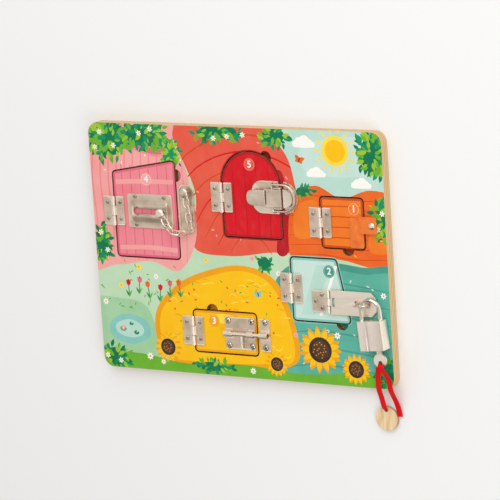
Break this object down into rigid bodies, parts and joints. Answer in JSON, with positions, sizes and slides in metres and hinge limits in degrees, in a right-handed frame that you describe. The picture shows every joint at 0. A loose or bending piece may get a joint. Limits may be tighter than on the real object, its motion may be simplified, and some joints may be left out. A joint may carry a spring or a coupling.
{
  "type": "padlock board",
  "caption": "Flat wooden activity board with numbered hinged doors, each held by another lock: strap, padlock, bolt, chain or toggle latch.",
  "frame": {"origin": "under the middle of the board, on the surface it lies on", "axes": "+Z out of the printed face, +Y to the board's top edge, +X to its right"},
  "size_m": [0.3001, 0.2641, 0.0229],
  "materials": {
    "plywood": "bare birch plywood",
    "printed_mint": "satin print on plywood, mint ground with a garden design",
    "printed_orange": "satin print on plywood, orange",
    "printed_pale_mint": "satin print on plywood, pale mint",
    "printed_yellow": "satin print on plywood, yellow",
    "printed_pink": "satin print on plywood, pink",
    "printed_red": "satin print on plywood, red",
    "nickel": "satin nickel plate",
    "bright_metal": "polished nickel plate",
    "orange_leather": "smooth dyed strap",
    "red_ribbon": "woven satin ribbon",
    "tag_wood": "bare wood"
  },
  "bodies": {
    "frame": {"back_panel": "plywood", "front_panel": "printed_mint", "hinge_1_frame_leaf": "nickel", "hinge_2_frame_leaf": "nickel", "hinge_3_frame_leaf": "nickel", "hinge_4_frame_leaf": "nickel", "hinge_5_frame_leaf": "nickel", "hinge_1_pin": "nickel", "hinge_2_pin": "nickel", "hinge_3_pin": "nickel", "hinge_4_pin": "nickel", "hinge_5_pin": "nickel", "snap_stud": "bright_metal", "staple": "nickel", "keeper": "nickel", "anchor_plate": "nickel", "rivet": "nickel", "latch_catch": "nickel"},
    "door_1_body": {"door_1": "printed_orange", "hinge_1_door_leaf": "nickel", "strap_pad": "orange_leather"},
    "strap_tongue_body": {"strap_tongue": "orange_leather", "snap_cap": "bright_metal"},
    "door_2_body": {"door_2": "printed_pale_mint", "hinge_2_door_leaf": "nickel", "hasp_base": "nickel", "hasp_pin": "nickel"},
    "hasp_strap_body": {"hasp_strap": "nickel"},
    "shackle_body": {"shackle": "bright_metal"},
    "padlock_body": {"padlock_case": "bright_metal", "key_ribbon": "red_ribbon", "wooden_tag": "tag_wood"},
    "key_body": {"lock_plug": "nickel", "key": "nickel"},
    "door_3_body": {"door_3": "printed_yellow", "hinge_3_door_leaf": "nickel", "bolt_base": "nickel"},
    "bolt_body": {"bolt_rod": "bright_metal"},
    "door_4_body": {"door_4": "printed_pink", "hinge_4_door_leaf": "nickel", "chain_track": "nickel"},
    "knob_body": {"chain_knob": "nickel", "chain_link_6": "nickel", "chain_link_7": "nickel", "chain_link_8": "nickel", "chain_link_9": "nickel", "chain_link_10": "nickel"},
    "chain_tail_body": {"chain_link_1": "nickel", "chain_link_2": "nickel", "chain_link_3": "nickel", "chain_link_4": "nickel", "chain_link_5": "nickel"},
    "door_5_body": {"door_5": "printed_red", "hinge_5_door_leaf": "nickel", "latch_base": "nickel", "latch_pin": "nickel"},
    "latch_lever_body": {"latch_lever": "nickel"},
    "latch_loop_body": {"latch_loop": "nickel"}
  },
  "joints": [
    {"name": "door_1_hinge", "type": "hinge", "parent": "frame", "child": "door_1_body", "pos_m": [0.08619, 0.0321, 0.0121], "axis": [0, -1, 0], "range_deg": [0, 110]},
    {"name": "door_2_hinge", "type": "hinge", "parent": "frame", "child": "door_2_body", "pos_m": [0.05301, -0.0277, 0.0121], "axis": [0, -1, 0], "range_deg": [0, 110]},
    {"name": "door_3_hinge", "type": "hinge", "parent": "frame", "child": "door_3_body", "pos_m": [-0.051, -0.07259, 0.0121], "axis": [0, -1, 0], "range_deg": [0, 110]},
    {"name": "door_4_hinge", "type": "hinge", "parent": "frame", "child": "door_4_body", "pos_m": [-0.12699, 0.0329, 0.0121], "axis": [0, -1, 0], "range_deg": [0, 110]},
    {"name": "door_5_hinge", "type": "hinge", "parent": "frame", "child": "door_5_body", "pos_m": [-0.01251, 0.04998, 0.0121], "axis": [0, -1, 0], "range_deg": [0, 110]},
    {"name": "strap_tongue_fold", "type": "hinge", "parent": "door_1_body", "child": "strap_tongue_body", "pos_m": [0.12519, 0.03171, 0.0127], "axis": [0, -1, 0], "range_deg": [0, 110]},
    {"name": "hasp_strap_swing", "type": "hinge", "parent": "door_2_body", "child": "hasp_strap_body", "pos_m": [0.09013, -0.0379, 0.0121], "axis": [0, 1, 0], "range_deg": [-100, 0]},
    {"name": "shackle_tilt", "type": "hinge", "parent": "hasp_strap_body", "child": "shackle_body", "pos_m": [0.13288, -0.03272, 0.0166], "axis": [0.9962, 0.0872, 0], "range_deg": [-75, 0]},
    {"name": "padlock_release", "type": "slide", "parent": "shackle_body", "child": "padlock_body", "axis": [0.0872, -0.9962, 0], "range_m": [0, 0.006]},
    {"name": "key_turn", "type": "hinge", "parent": "padlock_body", "child": "key_body", "pos_m": [0.14036, -0.07583, 0.0166], "axis": [0.0872, -0.9962, 0], "range_deg": [0, 90], "deforming": ["key_ribbon"]},
    {"name": "bolt_slide", "type": "slide", "parent": "door_3_body", "child": "bolt_body", "axis": [1, 0, 0], "range_m": [-0.007, 0.005]},
    {"name": "chain_knob_slide", "type": "slide", "parent": "door_4_body", "child": "knob_body", "axis": [-1, 0, 0], "range_m": [0, 0.0275]},
    {"name": "chain_tail_swing", "type": "hinge", "parent": "frame", "child": "chain_tail_body", "pos_m": [-0.04829, 0.05306, 0.01531], "axis": [0, 0, 1], "range_deg": [0, 30]},
    {"name": "latch_lever_lift", "type": "hinge", "parent": "door_5_body", "child": "latch_lever_body", "pos_m": [0.04899, 0.05201, 0.0136], "axis": [0, 1, 0], "range_deg": [0, 100]},
    {"name": "latch_loop_level", "type": "hinge", "parent": "latch_lever_body", "child": "latch_loop_body", "pos_m": [0.04099, 0.05201, 0.0136], "axis": [0, 1, 0], "range_deg": [-100, 0]}
  ],
  "couplings": [
    {"joint": "latch_loop_level", "follows": "latch_lever_lift", "ratio": -1}
  ]
}
